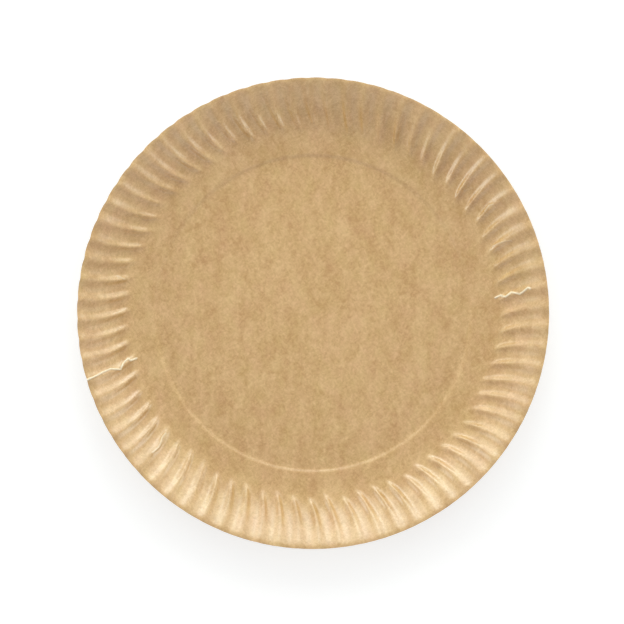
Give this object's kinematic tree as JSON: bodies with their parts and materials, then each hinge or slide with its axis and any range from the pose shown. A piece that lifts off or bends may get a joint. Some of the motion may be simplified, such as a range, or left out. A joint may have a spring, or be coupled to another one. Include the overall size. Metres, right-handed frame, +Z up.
{
  "type": "kraft paper plate",
  "caption": "Round shallow disposable plate pressed from brown kraft paper, with a flat well and a fluted, rolled-over rim.",
  "frame": {"origin": "centre of the underside of the flat well, on the surface that the plate rests on", "axes": "+Z up along the plate's axis, out of its hollow side; the plate is the same every 5 degrees round it, so X and Y are free"},
  "size_m": [0.23, 0.23, 0.0165],
  "materials": {
    "kraft_paper": "smooth pressed kraft paper with a faint sheen"
  },
  "bodies": {
    "root": {"plate": "kraft_paper"}
  },
  "joints": []
}
